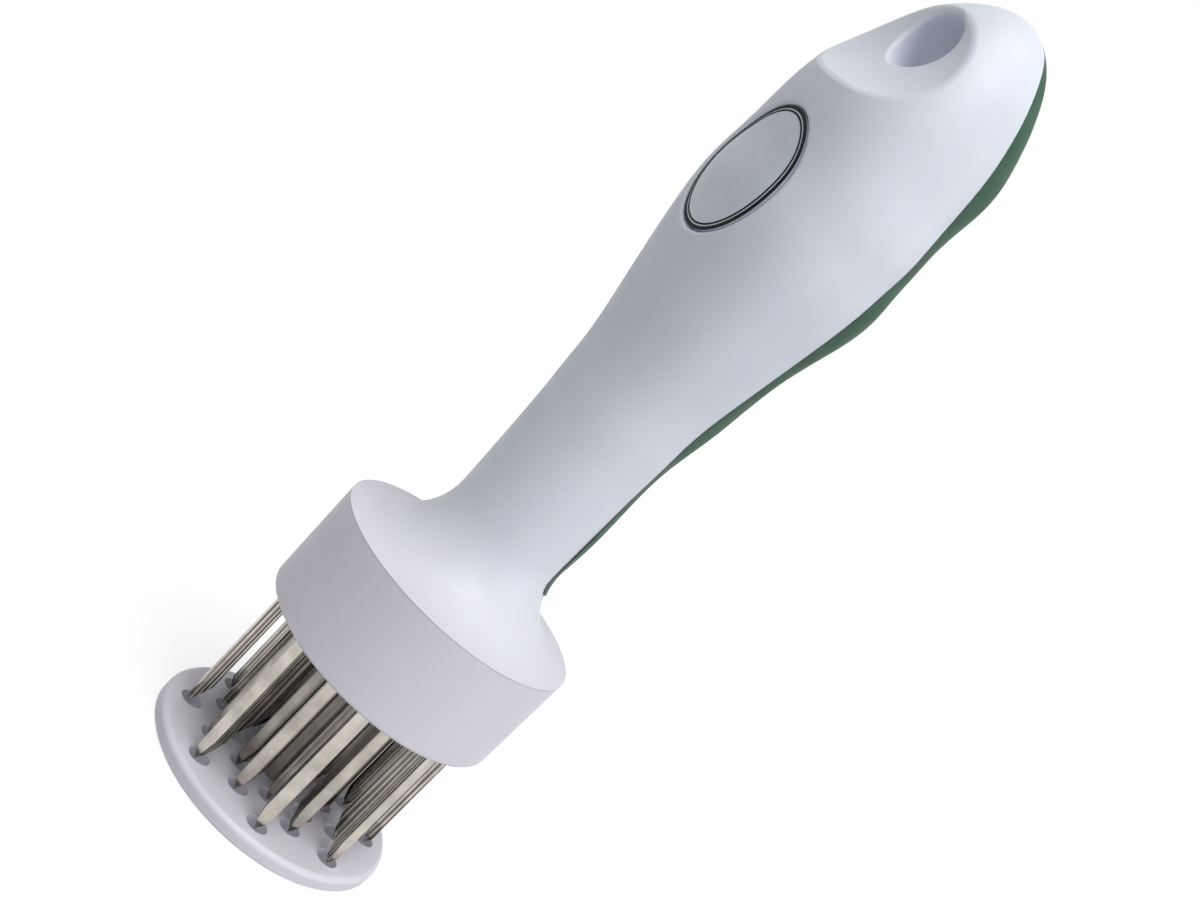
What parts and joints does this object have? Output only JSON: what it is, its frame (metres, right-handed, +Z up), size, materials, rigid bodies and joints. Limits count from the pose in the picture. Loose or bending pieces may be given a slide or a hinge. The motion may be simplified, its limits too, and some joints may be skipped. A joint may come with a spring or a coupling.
{
  "type": "blade meat tenderizer",
  "caption": "Hand-held meat tenderizer with rings of fixed spear-point blades in a round head, a spring-loaded guard disc and a white handle with a soft grip and a hanging hole.",
  "frame": {"origin": "Centre of the guard disc's underside, on the tool's axis, with the tool standing on its disc.", "axes": "+Z runs up the tool's axis towards the hanging hole, -Y is the front of the handle with the oval badge, +X is the right-hand side seen from the back."},
  "size_m": [0.051, 0.051, 0.1862],
  "materials": {
    "white_plastic": "satin moulded white plastic",
    "green_rubber": "soft matt green elastomer",
    "badge_plastic": "smooth pale grey label",
    "carrier_plastic": "plain moulded plastic",
    "bearing_plastic": "smooth low-friction plastic",
    "blade_steel": "folded and ground stainless strip",
    "post_steel": "drawn stainless rod",
    "spring_steel": "drawn spring wire",
    "plated_steel": "bright plated steel"
  },
  "bodies": {
    "handle": {"handle_shell": "white_plastic", "soft_grip": "green_rubber", "badge_plate": "badge_plastic", "blade_carrier": "carrier_plastic", "clamp_plate": "plated_steel", "carrier_screws": "plated_steel", "guide_bush": "bearing_plastic", "return_spring": "spring_steel", "spring_seat": "plated_steel", "blade_outer_1": "blade_steel", "blade_outer_2": "blade_steel", "blade_outer_3": "blade_steel", "blade_outer_4": "blade_steel", "blade_outer_5": "blade_steel", "blade_outer_6": "blade_steel", "blade_outer_7": "blade_steel", "blade_outer_8": "blade_steel", "blade_middle_1": "blade_steel", "blade_middle_2": "blade_steel", "blade_middle_3": "blade_steel", "blade_middle_4": "blade_steel", "blade_middle_5": "blade_steel", "blade_middle_6": "blade_steel", "blade_middle_7": "blade_steel", "blade_middle_8": "blade_steel", "blade_inner_1": "blade_steel", "blade_inner_2": "blade_steel", "blade_inner_3": "blade_steel", "blade_inner_4": "blade_steel", "blade_inner_5": "blade_steel", "blade_inner_6": "blade_steel", "blade_inner_7": "blade_steel", "blade_inner_8": "blade_steel"},
    "guard": {"guard_disc": "white_plastic", "guide_post": "post_steel", "guard_screw": "plated_steel", "stop_collar": "plated_steel", "retaining_clip": "plated_steel"}
  },
  "joints": [
    {"name": "guard_slide", "type": "slide", "parent": "handle", "child": "guard", "axis": [0, 0, 1], "range_m": [0, 0.0287], "stiffness_N_per_m": 880, "springref_m": -0.012, "deforming": ["return_spring"]}
  ]
}
